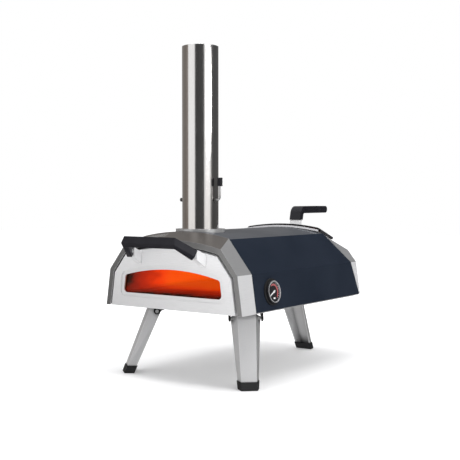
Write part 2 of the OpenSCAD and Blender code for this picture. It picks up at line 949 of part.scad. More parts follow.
module lid_knuckles() {
    for (side = [-1, 1])
        difference() {
            union() {
                rod_x(lid_knuckle_r, side * 33 - 6.8, side * 33 + 6.8, lid_pin);
                box([side * 33 - 6.8, lid_pin[0] - lid_knuckle_r, lid_pin[1]],
                    [side * 33 + 6.8, lid_pin[0] + lid_knuckle_r, 0]);
            }
            roof_curve_gap(lid_t / 2);
        }
}

// Everything above a curve that lies t under the lid's top
module roof_curve_gap(t) {
    difference() {
        box([-200, -20, -40], [200, 100, 20]);
        roof_curve(lid_r, t);
    }
}

module lid_screw_places() {
    for (side = [-1, 1], y = [54, 64]) translate([side * 11, y, 0]) children();
}

module hatch_hinge_pins() {
    color("silver")
    on_lid()
    for (side = [-1, 1]) rod_x(lid_pin_r, side * 33 - 12.4, side * 33 + 12.4, lid_pin);
}

module hatch_liner() {
    plate_z = -15;
    color([0.55, 0.55, 0.55])
    on_lid()
    difference() {
        union() {
            box([-84, 17, plate_z], [84, 50, plate_z + 1.4]);
            for (x = [-60, 0, 60], y = [24, 43]) translate([x, y, plate_z]) cylinder(r = 4, h = 14, $fn = 32);
        }
        roof_curve_gap(lid_t + 0.05);
    }
}

module hatch_frame() {
    color([0.7, 0.7, 0.71])
    difference() {
        union() {
            // Plate that lies on the sloping facet
            intersection() {
                on_lid() translate([0, 0, -60]) linear_extrude(90) union() {
                    lid_outline(-4);
                    translate([-lip_hw, -6.2]) square([2 * lip_hw, 20]);
                }
                on_slope() difference() {
                    roof_curve(slope_r, -1.5);
                    roof_curve(slope_r, -0.1);
                }
            }
            // Lip in front of the lid
            difference() {
                on_lid() intersection() {
                    box([-lip_hw, -6.2, -60], [lip_hw, -4.9, 0]);
                    roof_curve(lid_r, 8);
                }
                on_slope() roof_curve(slope_r, -0.1);
            }
            // Walls inside the lid's skirt
            difference() {
                on_lid() intersection() {
                    translate([0, 0, -60]) linear_extrude(90) difference() {
                        lid_outline(-4);
                        lid_outline(-5.4);
                    }
                    box([-150, 14, -60], [150, 100, 0]);
                    roof_curve(lid_r, lid_t + 2);
                }
                on_slope() roof_curve(slope_r, -0.1);
            }
            // Chute through the wall
            on_slope() difference() {
                box([-chute_hw - 1.5, chute_y[0] - 1.5, -24], [chute_hw + 1.5, chute_y[1] + 1.5, 0.5]);
                roof_curve_over();
            }
            // Hinge ears
            difference() {
                on_lid() for (side = [-1, 1], x = [-11, 7.2])
                    union() {
                        rod_x(lid_knuckle_r, side * 33 + x, side * 33 + x + 3.8, lid_pin);
                        box([side * 33 + x, lid_pin[0] - lid_knuckle_r, -30],
                            [side * 33 + x + 3.8, lid_pin[0] + lid_knuckle_r, lid_pin[1]]);
                    }
                on_slope() roof_curve(slope_r, -0.1);
            }
        }
        on_slope() box([-chute_hw, chute_y[0], -40], [chute_hw, chute_y[1], 30]);
        on_lid() rod_x(lid_pin_r + run, -80, 80, lid_pin);
        intersection() {
            body_prism(-0.4, 300, 520);
            before_shell_end(0.8);
        }
    }
}

// Everything above the sloping facet's plate
module roof_curve_over() {
    difference() {
        box([-200, -50, -40], [200, 200, 40]);
        roof_curve(slope_r, -1);
    }
}

module hatch_handle_bracket() {
    lean = tan(strap_lean);
    top = strap_low - 0.1;
    color([0.85, 0.85, 0.86])
    difference() {
        union() {
            along_x(-15.5, 15.5) polygon([
                [post_y - 6 + lean * -20, post_z - 20], [post_y - 6 + lean * (top - post_z), top],
                [post_y + 6 + lean * (top - post_z), top], [post_y + 6 + lean * -20, post_z - 20]
            ]);
            along_x(-11, 11) polygon([
                [post_y - 3.5 + lean * (top - 1 - post_z), top - 1], [post_y - 3.5 + lean * (top + 14 - post_z), top + 14],
                [post_y + 3.5 + lean * (top + 14 - post_z), top + 14], [post_y + 3.5 + lean * (top - 1 - post_z), top - 1]
            ]);
            on_lid() intersection() {
                box([-17, 50, -20], [17, 71, 20]);
                roof_curve(lid_r, -2);
            }
        }
        on_lid() roof_curve(lid_r, -0.05);
        on_lid() lid_screw_places() cylinder(r = 2.1, h = 30, center = true);
    }
}

module hatch_handle_screws() {
    color("silver")
    on_lid() lid_screw_places() {
        translate([0, 0, -lid_t - 2]) cylinder(r = 3.5, h = 1.7, $fn = 32);
        translate([0, 0, -lid_t - 1]) cylinder(r = 2, h = lid_t + 2.5, $fn = 32);
    }
}

module hatch_handle() {
    lean = tan(strap_lean);
    half = 7.9;
    arm_low = strap_z - strap_h;
    front = post_y - half;
    back = post_y + half;
    tip_r = strap_h / 2 - 0.05;
    color([0.1, 0.1, 0.11])
    difference() {
        along_x(-strap_w / 2, strap_w / 2) polygon(rounded([
            [front + lean * (strap_low - post_z), strap_low],
            [front + lean * (strap_z - post_z), strap_z],
            [strap_tip_y, strap_z], [strap_tip_y, arm_low],
            [back + lean * (arm_low - post_z), arm_low],
            [back + lean * (strap_low - post_z), strap_low]
        ], [0, 24, tip_r, tip_r, 5, 0], 10));
        along_x(-11.2, 11.2) polygon([
            [post_y - 3.7 + lean * (strap_low - 2 - post_z), strap_low - 2],
            [post_y - 3.7 + lean * (strap_low + 15 - post_z), strap_low + 15],
            [post_y + 3.7 + lean * (strap_low + 15 - post_z), strap_low + 15],
            [post_y + 3.7 + lean * (strap_low - 2 - post_z), strap_low - 2]
        ]);
    }
}

/* ---- Legs ---- */

// Hinge of one leg: X along the hinge pin, +Y outwards
module leg_frame(i) {
    translate(leg_hinges[i]) rotate([0, 0, leg_heads[i]]) children();
}

module on_leg(i) {
    leg_frame(i) rotate([leg_splays[i], 0, 0]) children();
}

// Section of a leg at a distance s down its length, t inside the outer faces.
// The back is open, and grow moves its edge out.
function leg_front_hw(s) = 21.4 - 0.026 * s;
function leg_back_hw(s) = 34.6 - 0.073 * s;
function leg_front_y(s) = 15.3 - 0.0235 * s;
function leg_back_y(s) = -10 + 0.015 * s;
function leg_section(s, t, grow) = [
    [-leg_front_hw(s) + t, leg_front_y(s) - t], [leg_front_hw(s) - t, leg_front_y(s) - t],
    [leg_back_hw(s) - t * 1.1, leg_back_y(s) - grow], [-leg_back_hw(s) + t * 1.1, leg_back_y(s) - grow]
];

module leg_block(s0, s1, t, grow) {
    hull() {
        translate([0, 0, -s0]) linear_extrude(0.1) polygon(leg_section(s0, t, grow));
        translate([0, 0, -s1]) linear_extrude(0.1) polygon(leg_section(s1, t, grow));
    }
}

function leg_len(i) = hinge_z / cos(leg_splays[i]);

module leg(i) {
    color([0.75, 0.75, 0.75])
    on_leg(i)
    difference() {
        union() {
            difference() {
                leg_block(-leg_above, leg_len(i) - 6, 0, 0);
                leg_block(-leg_above - 4, leg_len(i) - 9, leg_t, 1);
            }
            rod_x(4.8, -33.5, 33.5);
        }
        rod_x(leg_pin_r + run, -40, 40);
    }
}

// Rubber shoe with a level top and sole
module foot(i) {
    color([0.07, 0.07, 0.07])
    difference() {
        on_leg(i) difference() {
            leg_block(leg_len(i) - 40, leg_len(i) + 12, -1.5, 1.5);
            leg_block(-leg_above, leg_len(i) - 5.9, -0.1, 0.1);
        }
        translate([-far, -far, -60]) cube([2 * far, 3 * far, 60]);
        translate([-far, -far, foot_top]) cube([2 * far, 3 * far, 60]);
    }
}

// Pressed brackets: a plate under the base and two ears outside the leg, each with a wing inwards
module leg_brackets() {
    top = hinge_drop - slit / 2;
    color([0.08, 0.08, 0.09])
    for (i = [0 : 2]) leg_frame(i)
        difference() {
            union() {
                box([-ear_gap - ear_w, -38, hinge_drop - 3], [ear_gap + ear_w, 12, top]);
                for (x = [-ear_gap - ear_w, ear_gap]) {
                    rod_x(7.5, x, x + ear_w);
                    along_x(x, x + ear_w) polygon([
                        [7.5, 0], [7.5, hinge_drop - 5], [12, top], [-38, top],
                        [-38, hinge_drop - 8], [-17, hinge_drop - 16], [-7.5, 0]
                    ]);
                }
            }
            rod_x(leg_pin_r + 0.04, -ear_gap - 10, ear_gap + 10);
            bracket_screw_places() cylinder(r = 2, h = 60, center = true);
        }
}

module bracket_screw_places() {
    for (x = [-20, 20], y = [-27, -2]) translate([x, y, 0]) children();
}

module leg_pins() {
    pin_hw = ear_gap + ear_w;
    color("silver")
    for (i = [0 : 2]) leg_frame(i) {
        rod_x(leg_pin_r, -pin_hw - 0.3, pin_hw + 0.3);
        for (x = [-pin_hw - 1.2, pin_hw + 0.2]) rod_x(4.2, x, x + 1);
    }
}

/* ---- Thermometer ---- */

module thermometer_seat() {
    color([0.06, 0.06, 0.06])
    on_dial() difference() {
        translate([0, 0, 0.1]) cylinder(r = bezel_r + 4.5, h = 2.9, $fn = 96);
        cylinder(r = bezel_r - 4.5, h = 10, $fn = 96);
    }
}

module thermometer_housing() {
    color([0.8, 0.8, 0.8])
    on_dial() difference() {
        union() {
            translate([0, 0, 0.1]) cylinder(r = bezel_r - 4.7, h = 4, $fn = 96);
            translate([0, 0, 3.1]) cylinder(r = bezel_r - 1, h = 3, $fn = 96);
            translate([0, 0, 6]) rotate_extrude($fn = 96)
                polygon([[0, 0], [bezel_r - 1, 0], [bezel_r, 1], [bezel_r, 2.4], [bezel_r - 1.5, 3.6], [0, 3.6]]);
        }
        translate([0, 0, 5.6]) cylinder(r = bezel_r - 3.3, h = 20, $fn = 96);
        cylinder(r = 5.1, h = 30, center = true);
    }
}

module thermometer_dial() {
    color([0.06, 0.06, 0.07])
    on_dial() translate([0, 0, 5.7]) difference() {
        cylinder(r = bezel_r - 3.5, h = 0.8, $fn = 96);
        translate([0, 0, -1]) cylinder(r = 1.1, h = 3, $fn = 32);
    }
}

needle_angle = -64;    // where the needle rests, from straight down

module thermometer_needle() {
    color([0.95, 0.95, 0.95])
    on_dial() translate([0, 0, 6.9]) difference() {
        union() {
            cylinder(r = 2.6, h = 1.2, $fn = 32);
            rotate([0, 0, needle_angle]) linear_extrude(0.8)
                polygon([[-5, 1.3], [-5, -1.3], [0, -1.6], [19.5, -1], [19.5, 1], [0, 1.6]]);
        }
        translate([0, 0, -1]) cylinder(r = 1.05, h = 4, $fn = 32);
    }
}

module thermometer_lens() {
    color([0.9, 0.95, 1, 0.3])
    on_dial() translate([0, 0, 8.3]) cylinder(r = bezel_r - 3.4, h = 0.9, $fn = 96);
}

module thermometer_stem() {
    color([0.75, 0.75, 0.75])
    on_dial() union() {
        translate([0, 0, -14]) cylinder(r = 5, h = 19.4);
        translate([0, 0, -48]) cylinder(r = 3, h = 36);
        translate([0, 0, 5]) cylinder(r = 1, h = 3.1, $fn = 32);
    }
}

module thermometer_nut() {
    color([0.7, 0.65, 0.4])
    on_dial() translate([0, 0, -9]) difference() {
        cylinder(r = 9, h = 6, $fn = 6);
        translate([0, 0, -1]) cylinder(r = 5.05, h = 10);
    }
}

// Puts the rear foot over the origin
module stand() {
    translate([0, -rear_foot_y, 0]) children();
}

stand() base_plate();
stand() body_shell();
stand() front_collar();
stand() rear_collar();
stand() rear_cover();
stand() inner_liner();
stand() insulation_blanket();
stand() floor_insulation();
stand() stone_tray();
stand() pizza_stone();
stand() mouth_frame();
stand() door_seal();
stand() door_magnets();
stand() flame_baffle();
stand() firebox();
stand() fuel_grate();
stand() ash_drawer();
stand() drawer_pull();
stand() vent_shutter();
stand() door_panel();
stand() door_glass();
stand() glass_gasket();
stand() glass_retainer();
stand() door_handle();
stand() door_handle_brackets();
stand() door_handle_screws();
stand() door_hinge_brackets();
stand() door_hinge_pins();
stand() chimney_flange();
stand() chimney_tube();
stand() damper_bushes();
stand() damper_plate();
stand() damper_rod();
stand() damper_knob();
stand() damper_clip();
stand() damper_screws();
stand() hatch_frame();
stand() fuel_hatch();
stand() hatch_liner();
stand() hatch_hinge_pins();
stand() hatch_handle_bracket();
stand() hatch_handle();
stand() hatch_handle_screws();
stand() leg_brackets();
stand() leg_pins();
stand() body_screws();
stand() leg(0);  // left_leg
stand() leg(1);  // right_leg
stand() leg(2);  // rear_leg
stand() foot(0);  // left_foot
stand() foot(1);  // right_foot
stand() foot(2);  // rear_foot
stand() thermometer_seat();
stand() thermometer_housing();
stand() thermometer_dial();
stand() thermometer_needle();
stand() thermometer_lens();
stand() thermometer_stem();
stand() thermometer_nut();
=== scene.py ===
"""Looks, light and camera for the wood fired pizza oven.

Sizes are in metres, in the CAD frame: the door faces -Y, +X is on the right of someone who
faces the door, and +Z is up.
"""
import json
import math

import bpy
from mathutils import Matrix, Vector


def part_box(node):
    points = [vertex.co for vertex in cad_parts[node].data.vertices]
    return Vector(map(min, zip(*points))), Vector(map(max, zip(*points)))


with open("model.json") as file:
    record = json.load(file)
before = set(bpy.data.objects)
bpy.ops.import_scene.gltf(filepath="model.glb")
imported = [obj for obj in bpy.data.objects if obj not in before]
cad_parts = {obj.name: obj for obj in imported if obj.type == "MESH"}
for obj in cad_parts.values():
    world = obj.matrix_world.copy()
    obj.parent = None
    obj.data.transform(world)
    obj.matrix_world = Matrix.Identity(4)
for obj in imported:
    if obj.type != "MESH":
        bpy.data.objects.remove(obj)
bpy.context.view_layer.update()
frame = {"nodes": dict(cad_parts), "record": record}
nodes = frame["nodes"]

# ---- The view: the direction from the oven to the camera, and the picture's right ----
VIEW_AZIMUTH = math.radians(35.51)
VIEW_PITCH = math.radians(2.04)
FRONT_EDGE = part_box("front_collar")[0].y
CAMERA_PLACE = Vector((1.2785, FRONT_EDGE - 1.5569, 0.4266))
FOCAL_LENGTH_MM = 68.87
SENSOR_WIDTH_MM = 36.0
CLIP_END = 50
TO_CAMERA = Vector((math.sin(VIEW_AZIMUTH), -math.cos(VIEW_AZIMUTH), 0))
TO_RIGHT = Vector((math.cos(VIEW_AZIMUTH), math.sin(VIEW_AZIMUTH), 0))


# ---- Small helpers for node trees ----
# How alike a face's own normal and its rounded normal are: on a flat face, and on a fold
FLAT = 0.988
FOLDED = 0.88


class Tree:
    """A short way to write node trees: each call adds a node and wires its inputs."""

    def __init__(self, tree):
        self.tree = tree
        tree.nodes.clear()

    def add(self, kind, inputs=None, **settings):
        node = self.tree.nodes.new(kind)
        for name, value in settings.items():
            setattr(node, name, value)
        for key, value in (inputs or {}).items():
            socket = node.inputs[key]
            if isinstance(value, bpy.types.NodeSocket):
                self.tree.links.new(value, socket)
            else:
                socket.default_value = value
        return node

    def math(self, operation, *values, clamp=False):
        inputs = {i: v for i, v in enumerate(values)}
        return self.add("ShaderNodeMath", inputs, operation=operation, use_clamp=clamp).outputs[0]

    def ramp(self, factor, stops):
        node = self.add("ShaderNodeValToRGB", {"Fac": factor})
        points = node.color_ramp.elements
        while len(points) < len(stops):
            points.new(0.5)
        for point, (place, colour) in zip(points, stops):
            point.position = place
            point.color = grey(colour) if isinstance(colour, (int, float)) else (*colour, 1)
        return node.outputs["Color"]

    def mix(self, factor, a, b, blend="MIX"):
        node = self.add("ShaderNodeMix", data_type="RGBA", blend_type=blend)
        for key, value in ((0, factor), (6, a), (7, b)):
            socket = node.inputs[key]
            if isinstance(value, bpy.types.NodeSocket):
                self.tree.links.new(value, socket)
            elif key and len(value) == 3:
                socket.default_value = (*value, 1)
            else:
                socket.default_value = value
        return node.outputs[2]

    def noise(self, vector, scale, detail=3.0, roughness=0.5):
        return self.add(
            "ShaderNodeTexNoise",
            {"Vector": vector, "Scale": scale, "Detail": detail, "Roughness": roughness},
        ).outputs["Fac"]

    def stretched(self, scale):
        """Object coordinates, stretched: a small number makes long streaks along that axis."""
        place = self.add("ShaderNodeTexCoord").outputs["Object"]
        return self.add("ShaderNodeVectorMath", {0: place, 1: scale}, operation="MULTIPLY").outputs[0]

    def remap(self, value, low, high, to_low, to_high):
        return self.add(
            "ShaderNodeMapRange",
            {"Value": value, "From Min": low, "From Max": high, "To Min": to_low, "To Max": to_high},
        ).outputs["Result"]

    def spread(self, noise, to_low, to_high):
        """Stretches a noise, which mostly falls between 0.3 and 0.7, to the range given."""
        return self.remap(noise, 0.3, 0.7, to_low, to_high)

    def dot(self, a, b):
        return self.add("ShaderNodeVectorMath", {0: a, 1: b}, operation="DOT_PRODUCT").outputs["Value"]

    def length(self, a, b):
        """How far from the origin the point (a, b) is."""
        return self.math("SQRT", self.math("ADD", self.math("MULTIPLY", a, a), self.math("MULTIPLY", b, b)))

    def bump(self, height, distance, strength=1.0, normal=None):
        inputs = {"Height": height, "Distance": distance, "Strength": strength}
        if normal is not None:
            inputs["Normal"] = normal
        return self.add("ShaderNodeBump", inputs).outputs["Normal"]

    def edges(self, radius):
        """Normals rounded over the edges, as folded or cast edges are."""
        return self.add("ShaderNodeBevel", {"Radius": radius}, samples=6).outputs["Normal"]

    def folds(self, radius):
        """1 along the folded edges of a sheet, 0 on its faces."""
        face = self.add("ShaderNodeNewGeometry").outputs["Normal"]
        return self.remap(self.dot(self.edges(radius), face), FLAT, FOLDED, 0, 1)

    def open_air(self, distance, power):
        """1 on open faces, less in corners and between pieces that stand close."""
        node = self.add("ShaderNodeAmbientOcclusion", {"Distance": distance}, samples=8)
        return self.math("POWER", node.outputs["AO"], power)

    def axes(self):
        place = self.add("ShaderNodeTexCoord").outputs["Object"]
        return self.add("ShaderNodeSeparateXYZ", {0: place}).outputs

    def facing(self):
        normal = self.add("ShaderNodeNewGeometry").outputs["Normal"]
        return self.add("ShaderNodeSeparateXYZ", {0: normal}).outputs

    def level(self, value):
        return self.add("ShaderNodeCombineColor", {0: value, 1: value, 2: value}).outputs[0]

    def surface(self, inputs):
        shader = self.add("ShaderNodeBsdfPrincipled", inputs)
        self.show(shader)

    def show(self, shader, output="ShaderNodeOutputMaterial"):
        self.tree.links.new(shader.outputs[0], self.add(output).inputs["Surface"])


def grey(value):
    return (value, value, value, 1)


def new_material(name):
    material = bpy.data.materials.new(name)
    material.use_nodes = True
    return material, Tree(material.node_tree)


# ---- Materials. Their tones are set for this view and light: see folded_steel_with_painted_light, door_painted_light and leg_shade ----
# How a noise is stretched: small along the streaks, large across them
EVEN = (1, 1, 1)
ALONG_X = (1, 60, 60)
ALONG_Y = (60, 1, 60)
ALONG_Z = (60, 60, 1)
EDGE_RADIUS = 0.0005
STREAK_DEPTH = 0.00002
STREAK_STRENGTH = 0.6
# How far up the chimney its heat colour starts to fade, and where it has faded
TINT_START, TINT_END = 0.02, 0.22
# How far behind the front edge, and above the base plate, the fire light starts and is full
FIRE_INWARDS = (0.034, 0.215)
FIRE_UPWARDS = (0.011, 0.04)
# How far below the collar the shade on a leg ends, and where it is full
SHADE_END, SHADE_FULL = 0.022, 0.002


def brushed_metal(name, colour, roughness, grain, depth=STREAK_DEPTH, tint=None, metallic=1.0):
    """Steel with fine streaks. grain is small along the streaks and large across them."""
    material, t = new_material(name)
    streaks = t.noise(t.stretched(grain), 40, 4, 0.6)
    cloud = t.noise(t.stretched(EVEN), 14, 2)
    shade = t.spread(streaks, 0.9, 1.06)
    base = t.mix(1.0, colour, t.level(shade), "MULTIPLY")
    # tint recolours the base: on the door it paints light in, on the chimney it gives the heat colour
    if tint is not None:
        base = tint(t, base)
    rough = t.math("ADD", t.spread(streaks, roughness - 0.05, roughness + 0.06),
                   t.spread(cloud, -0.02, 0.03))
    t.surface({
        "Base Color": base,
        "Metallic": metallic,
        "Roughness": rough,
        "Normal": t.bump(streaks, depth, STREAK_STRENGTH, t.edges(EDGE_RADIUS)),
    })
    return material


def folded_steel_with_painted_light(name, facet_shades, front, metallic):
    """Brushed sheet folded into faces, with painted light and shade in its colour.

    facet_shades gives each face a painted light and shade by how far it faces up; front is the painted shade
    of the rim around the door.
    """
    material, t = new_material(name)
    streaks = t.noise(t.stretched(ALONG_Y), 40, 4, 0.6)
    normal = t.facing()
    left, right = (corner.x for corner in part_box("front_collar"))
    # Painted light across the front rim: darker on the left, brighter towards the right
    rim = t.mix(1.0, front, t.level(t.remap(t.axes()["X"], left, right, 0.6, 1.15)), "MULTIPLY")
    # Painted light and shade: each face's colour is set by the way it faces
    tone = t.mix(t.remap(normal["Y"], -0.8, -0.95, 0, 1), t.ramp(normal["Z"], facet_shades), rim)
    # Painted highlight: a lighter line along the folds
    tone = t.mix(t.math("MULTIPLY", t.folds(0.0012), 0.35), tone, (0.8, 0.8, 0.8))
    base = t.mix(1.0, tone, t.level(t.spread(streaks, 0.92, 1.05)), "MULTIPLY")
    t.surface({
        "Base Color": base,
        "Metallic": metallic,
        "Roughness": t.spread(streaks, 0.29, 0.40),
        "Normal": t.bump(streaks, STREAK_DEPTH, STREAK_STRENGTH, t.edges(EDGE_RADIUS)),
    })
    return material


def heat_tint(t, base):
    """The foot of the chimney is straw coloured by the heat."""
    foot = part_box("chimney_tube")[0].z
    warm = t.remap(t.axes()["Z"], foot + TINT_START, foot + TINT_END, 0.22, 0.06)
    return t.mix(warm, base, (0.58, 0.47, 0.36))


def door_painted_light(t, base):
    """Painted light: the door's colour is brighter near its top, and towards the lamp on the right."""
    low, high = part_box("door_panel")
    across = t.remap(t.axes()["X"], low.x, high.x, 0.84, 1.06)
    up = t.remap(t.axes()["Z"], low.z, high.z, 0.94, 1.14)
    return t.mix(1.0, base, t.level(t.math("MULTIPLY", across, up)), "MULTIPLY")


def leg_shade(t, base):
    """Painted highlight along the legs' folds; painted shade in corners, under the body and on sides turned
    right.
    """
    bright = t.mix(t.math("MULTIPLY", t.folds(0.0028), 0.5), base, (1, 1, 1))
    turned = t.dot(t.add("ShaderNodeNewGeometry").outputs["Normal"], TO_RIGHT)
    side = t.remap(turned, 0.6, 0.85, 1.0, 0.55)
    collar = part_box("front_collar")[0].z
    under = t.remap(t.axes()["Z"], collar - SHADE_END, collar - SHADE_FULL, 1.0, 0.35)
    shade = t.math("MULTIPLY", t.math("MULTIPLY", side, under), t.open_air(0.012, 1.6))
    return t.mix(1.0, bright, t.level(shade), "MULTIPLY")


def painted(name, colour, roughness, speckle=0.00003, shine=0.3, fold_highlight=0.0, painted_roof_sheen=None):
    """Powder coat with fine orange-peel bumps.

    fold_highlight is how much highlight is painted along the folds, and painted_roof_sheen a sheen painted
    where it faces straight up.
    """
    material, t = new_material(name)
    place = t.stretched(EVEN)
    peel = t.noise(place, 900, 2)
    cloud = t.noise(place, 9, 3)
    lighter = tuple(min(1, c * 1.18 + 0.002) for c in colour)
    base = t.mix(t.spread(cloud, 0, 1), colour, lighter)
    # Painted sheen: a lighter colour where the paint faces straight up
    if painted_roof_sheen:
        base = t.mix(t.remap(t.facing()["Z"], 0.88, 0.985, 0, 1), base, painted_roof_sheen)
    # Painted highlight: a lighter grey along the folds
    if fold_highlight:
        base = t.mix(t.math("MULTIPLY", t.folds(0.001), fold_highlight), base, (0.3, 0.3, 0.3))
    t.surface({
        "Base Color": base,
        "Roughness": t.spread(cloud, roughness - 0.04, roughness + 0.05),
        "Specular IOR Level": shine,
        "Normal": t.bump(peel, speckle, 0.5, t.edges(0.0006)),
    })
    return material


def moulded(name, colour, roughness, shine=0.3):
    """Moulded rubber or nylon with a fine leathery grain."""
    material, t = new_material(name)
    place = t.stretched(EVEN)
    cells = t.add("ShaderNodeTexVoronoi", {"Vector": place, "Scale": 700.0}).outputs["Distance"]
    cloud = t.noise(place, 25, 3)
    base = t.mix(t.spread(cloud, 0, 1), colour, tuple(c * 1.3 + 0.003 for c in colour))
    t.surface({
        "Base Color": base,
        "Roughness": t.spread(cloud, roughness - 0.05, roughness + 0.06),
        "Specular IOR Level": shine,
        "Normal": t.bump(cells, 0.00006, 0.5, t.edges(0.0008)),
    })
    return material


def glow(t, strength):
    """Painted fire light, as a glow on an inner surface: orange inside, dark red near the door and low on the
    walls.
    """
    axes = t.axes()
    start, full = FIRE_INWARDS
    inwards = t.remap(axes["Y"], FRONT_EDGE + start, FRONT_EDGE + full, 0, 1)
    flicker = t.noise(t.stretched((1, 1, 2.2)), 22, 4, 0.55)
    # The painted fire light grows from the door inwards, with some flicker
    heat = t.math("ADD", inwards, t.spread(flicker, -0.12, 0.12), clamp=True)
    colour = t.ramp(heat, [
        (0.0, (0.008, 0.001, 0.001)), (0.14, (0.24, 0.01, 0.003)), (0.45, (0.5, 0.02, 0.001)),
        (0.72, (0.9, 0.06, 0.002)), (1.0, (0.96, 0.11, 0.002)),
    ])
    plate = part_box("base_plate")[1].z
    start, full = FIRE_UPWARDS
    low = t.remap(axes["Z"], plate + start, plate + full, 0.3, 1.0)
    return {"Emission Color": colour, "Emission Strength": t.math("MULTIPLY", low, strength)}


def fire_lit_surface(name, colour, roughness, strength):
    """A gritty surface that glows with painted fire light, though it is no lamp."""
    material, t = new_material(name)
    grit = t.noise(t.stretched(EVEN), 240, 4)
    base = t.mix(t.spread(grit, 0, 1), colour, tuple(c * 0.6 for c in colour))
    t.surface({
        "Base Color": base,
        "Roughness": roughness,
        "Specular IOR Level": 0.0,
        "Normal": t.bump(grit, 0.0002, 0.5),
        **glow(t, strength),
    })
    return material


def fibre(name, colour):
    """Matted ceramic fibre."""
    material, t = new_material(name)
    hair = t.noise(t.stretched((1, 1, 6)), 160, 6, 0.7)
    base = t.mix(t.spread(hair, 0, 1), colour, tuple(c * 0.8 for c in colour))
    t.surface({"Base Color": base, "Roughness": 0.95, "Normal": t.bump(hair, 0.0006)})
    return material


def clear_glass(name, tint):
    """Sheet glass that lets the light straight through and keeps a faint reflection."""
    material, t = new_material(name)
    smear = t.noise(t.stretched(EVEN), 30, 3)
    see = t.add("ShaderNodeBsdfTransparent", {"Color": (*tint, 1)})
    shine = t.add("ShaderNodeBsdfGlossy", {"Roughness": t.spread(smear, 0.03, 0.09)})
    rim = t.add("ShaderNodeFresnel", {"IOR": 1.45}).outputs[0]
    share = t.math("MULTIPLY", rim, 0.08)
    t.show(t.add("ShaderNodeMixShader", {0: share, 1: see.outputs[0], 2: shine.outputs[0]}))
    return material


def on_dial(t):
    """Place on the thermometer's face: up, right, and the distance from its centre."""
    low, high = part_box("thermometer_dial")
    lean = math.atan2(high.x - low.x, high.z - low.z)
    place = t.add("ShaderNodeTexCoord").outputs["Object"]
    offset = t.add("ShaderNodeVectorMath", {0: place, 1: (low + high) / 2}, operation="SUBTRACT").outputs[0]
    up = t.dot(offset, (-math.sin(lean), 0, math.cos(lean)))
    right = t.add("ShaderNodeSeparateXYZ", {0: offset}).outputs["Y"]
    return up, right, t.length(up, right)


def bezel_finish(name):
    """Polished, but black in a narrow band around its rim and down its sides."""
    material, t = new_material(name)
    low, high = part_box("thermometer_housing")
    black_band = 0.0016
    polished = t.math("LESS_THAN", on_dial(t)[2], (high.y - low.y) / 2 - black_band)
    turned = t.noise(t.stretched((1, 40, 40)), 60, 3)
    t.surface({
        "Base Color": t.mix(polished, (0.012, 0.012, 0.014), (0.72, 0.72, 0.74)),
        "Metallic": t.math("MULTIPLY", polished, 0.6),
        "Roughness": t.spread(turned, 0.24, 0.34),
        "Normal": t.edges(0.0004),
    })
    return material


def printed_dial(name, face, ink):
    """A black thermometer face: a red working range, a ring of ticks and a small mark at the bottom."""
    material, t = new_material(name)
    low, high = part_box("thermometer_dial")
    radius = (high.y - low.y) / 2
    up, right, distance = on_dial(t)
    # Clock angle in twelfths of a turn, and the distance from the centre as a share of the radius
    hour = t.math("MULTIPLY", t.math("ARCTAN2", right, up), 6 / math.pi)
    out = t.math("DIVIDE", distance, radius)

    def between(value, low_end, high_end):
        above = t.math("GREATER_THAN", value, low_end)
        return t.math("MULTIPLY", above, t.math("LESS_THAN", value, high_end))

    arc_start, last_tick = -1.0, 4.6
    arc = t.math("MULTIPLY", between(hour, arc_start, last_tick), between(out, 0.62, 0.8))
    along_arc = t.remap(hour, arc_start, last_tick, 0, 1)
    warmth = t.ramp(along_arc, [(0.0, (0.42, 0.13, 0.13)), (1.0, (0.5, 0.1, 0.1))])
    fine = t.math("ABSOLUTE", t.math("SUBTRACT", t.math("FRACT", t.math("MULTIPLY", hour, 2.0)), 0.5))
    ticks = t.math("MULTIPLY", t.math("GREATER_THAN", fine, 0.42), between(out, 0.84, 0.95))
    ticks = t.math("MULTIPLY", ticks, between(hour, -last_tick, last_tick))
    mark = t.math("MULTIPLY", between(up, -radius * 0.72, -radius * 0.56),
                  between(right, -radius * 0.16, radius * 0.16))
    base = t.mix(arc, face, warmth)
    base = t.mix(t.math("MAXIMUM", ticks, mark), base, ink)
    t.surface({
        "Base Color": base,
        "Roughness": t.spread(t.noise(t.stretched(EVEN), 60, 3), 0.5, 0.62),
        "Specular IOR Level": 0.25,
        "Normal": t.edges(0.0003),
    })
    return material


# The collar's colours are painted light and shade: light on the low side faces, darker higher up, darkest on
# the top and the front rim
collar_steel = folded_steel_with_painted_light("collar_steel", [
    (0.05, (0.67, 0.67, 0.675)), (0.25, (0.67, 0.67, 0.675)), (0.5, (0.30, 0.30, 0.302)),
    (0.72, (0.28, 0.28, 0.282)), (0.88, (0.105, 0.095, 0.088)), (1.0, (0.10, 0.09, 0.082)),
], front=(0.19, 0.188, 0.186), metallic=0.35)
cover_steel = brushed_metal("cover_steel", (0.48, 0.48, 0.49), 0.34, ALONG_X, metallic=0.5)
lip_steel = brushed_metal("lip_steel", (0.6, 0.6, 0.62), 0.3, ALONG_X, metallic=0.5)
sheet_steel = brushed_metal("sheet_steel", (0.48, 0.48, 0.48), 0.38, ALONG_X, metallic=0.6)
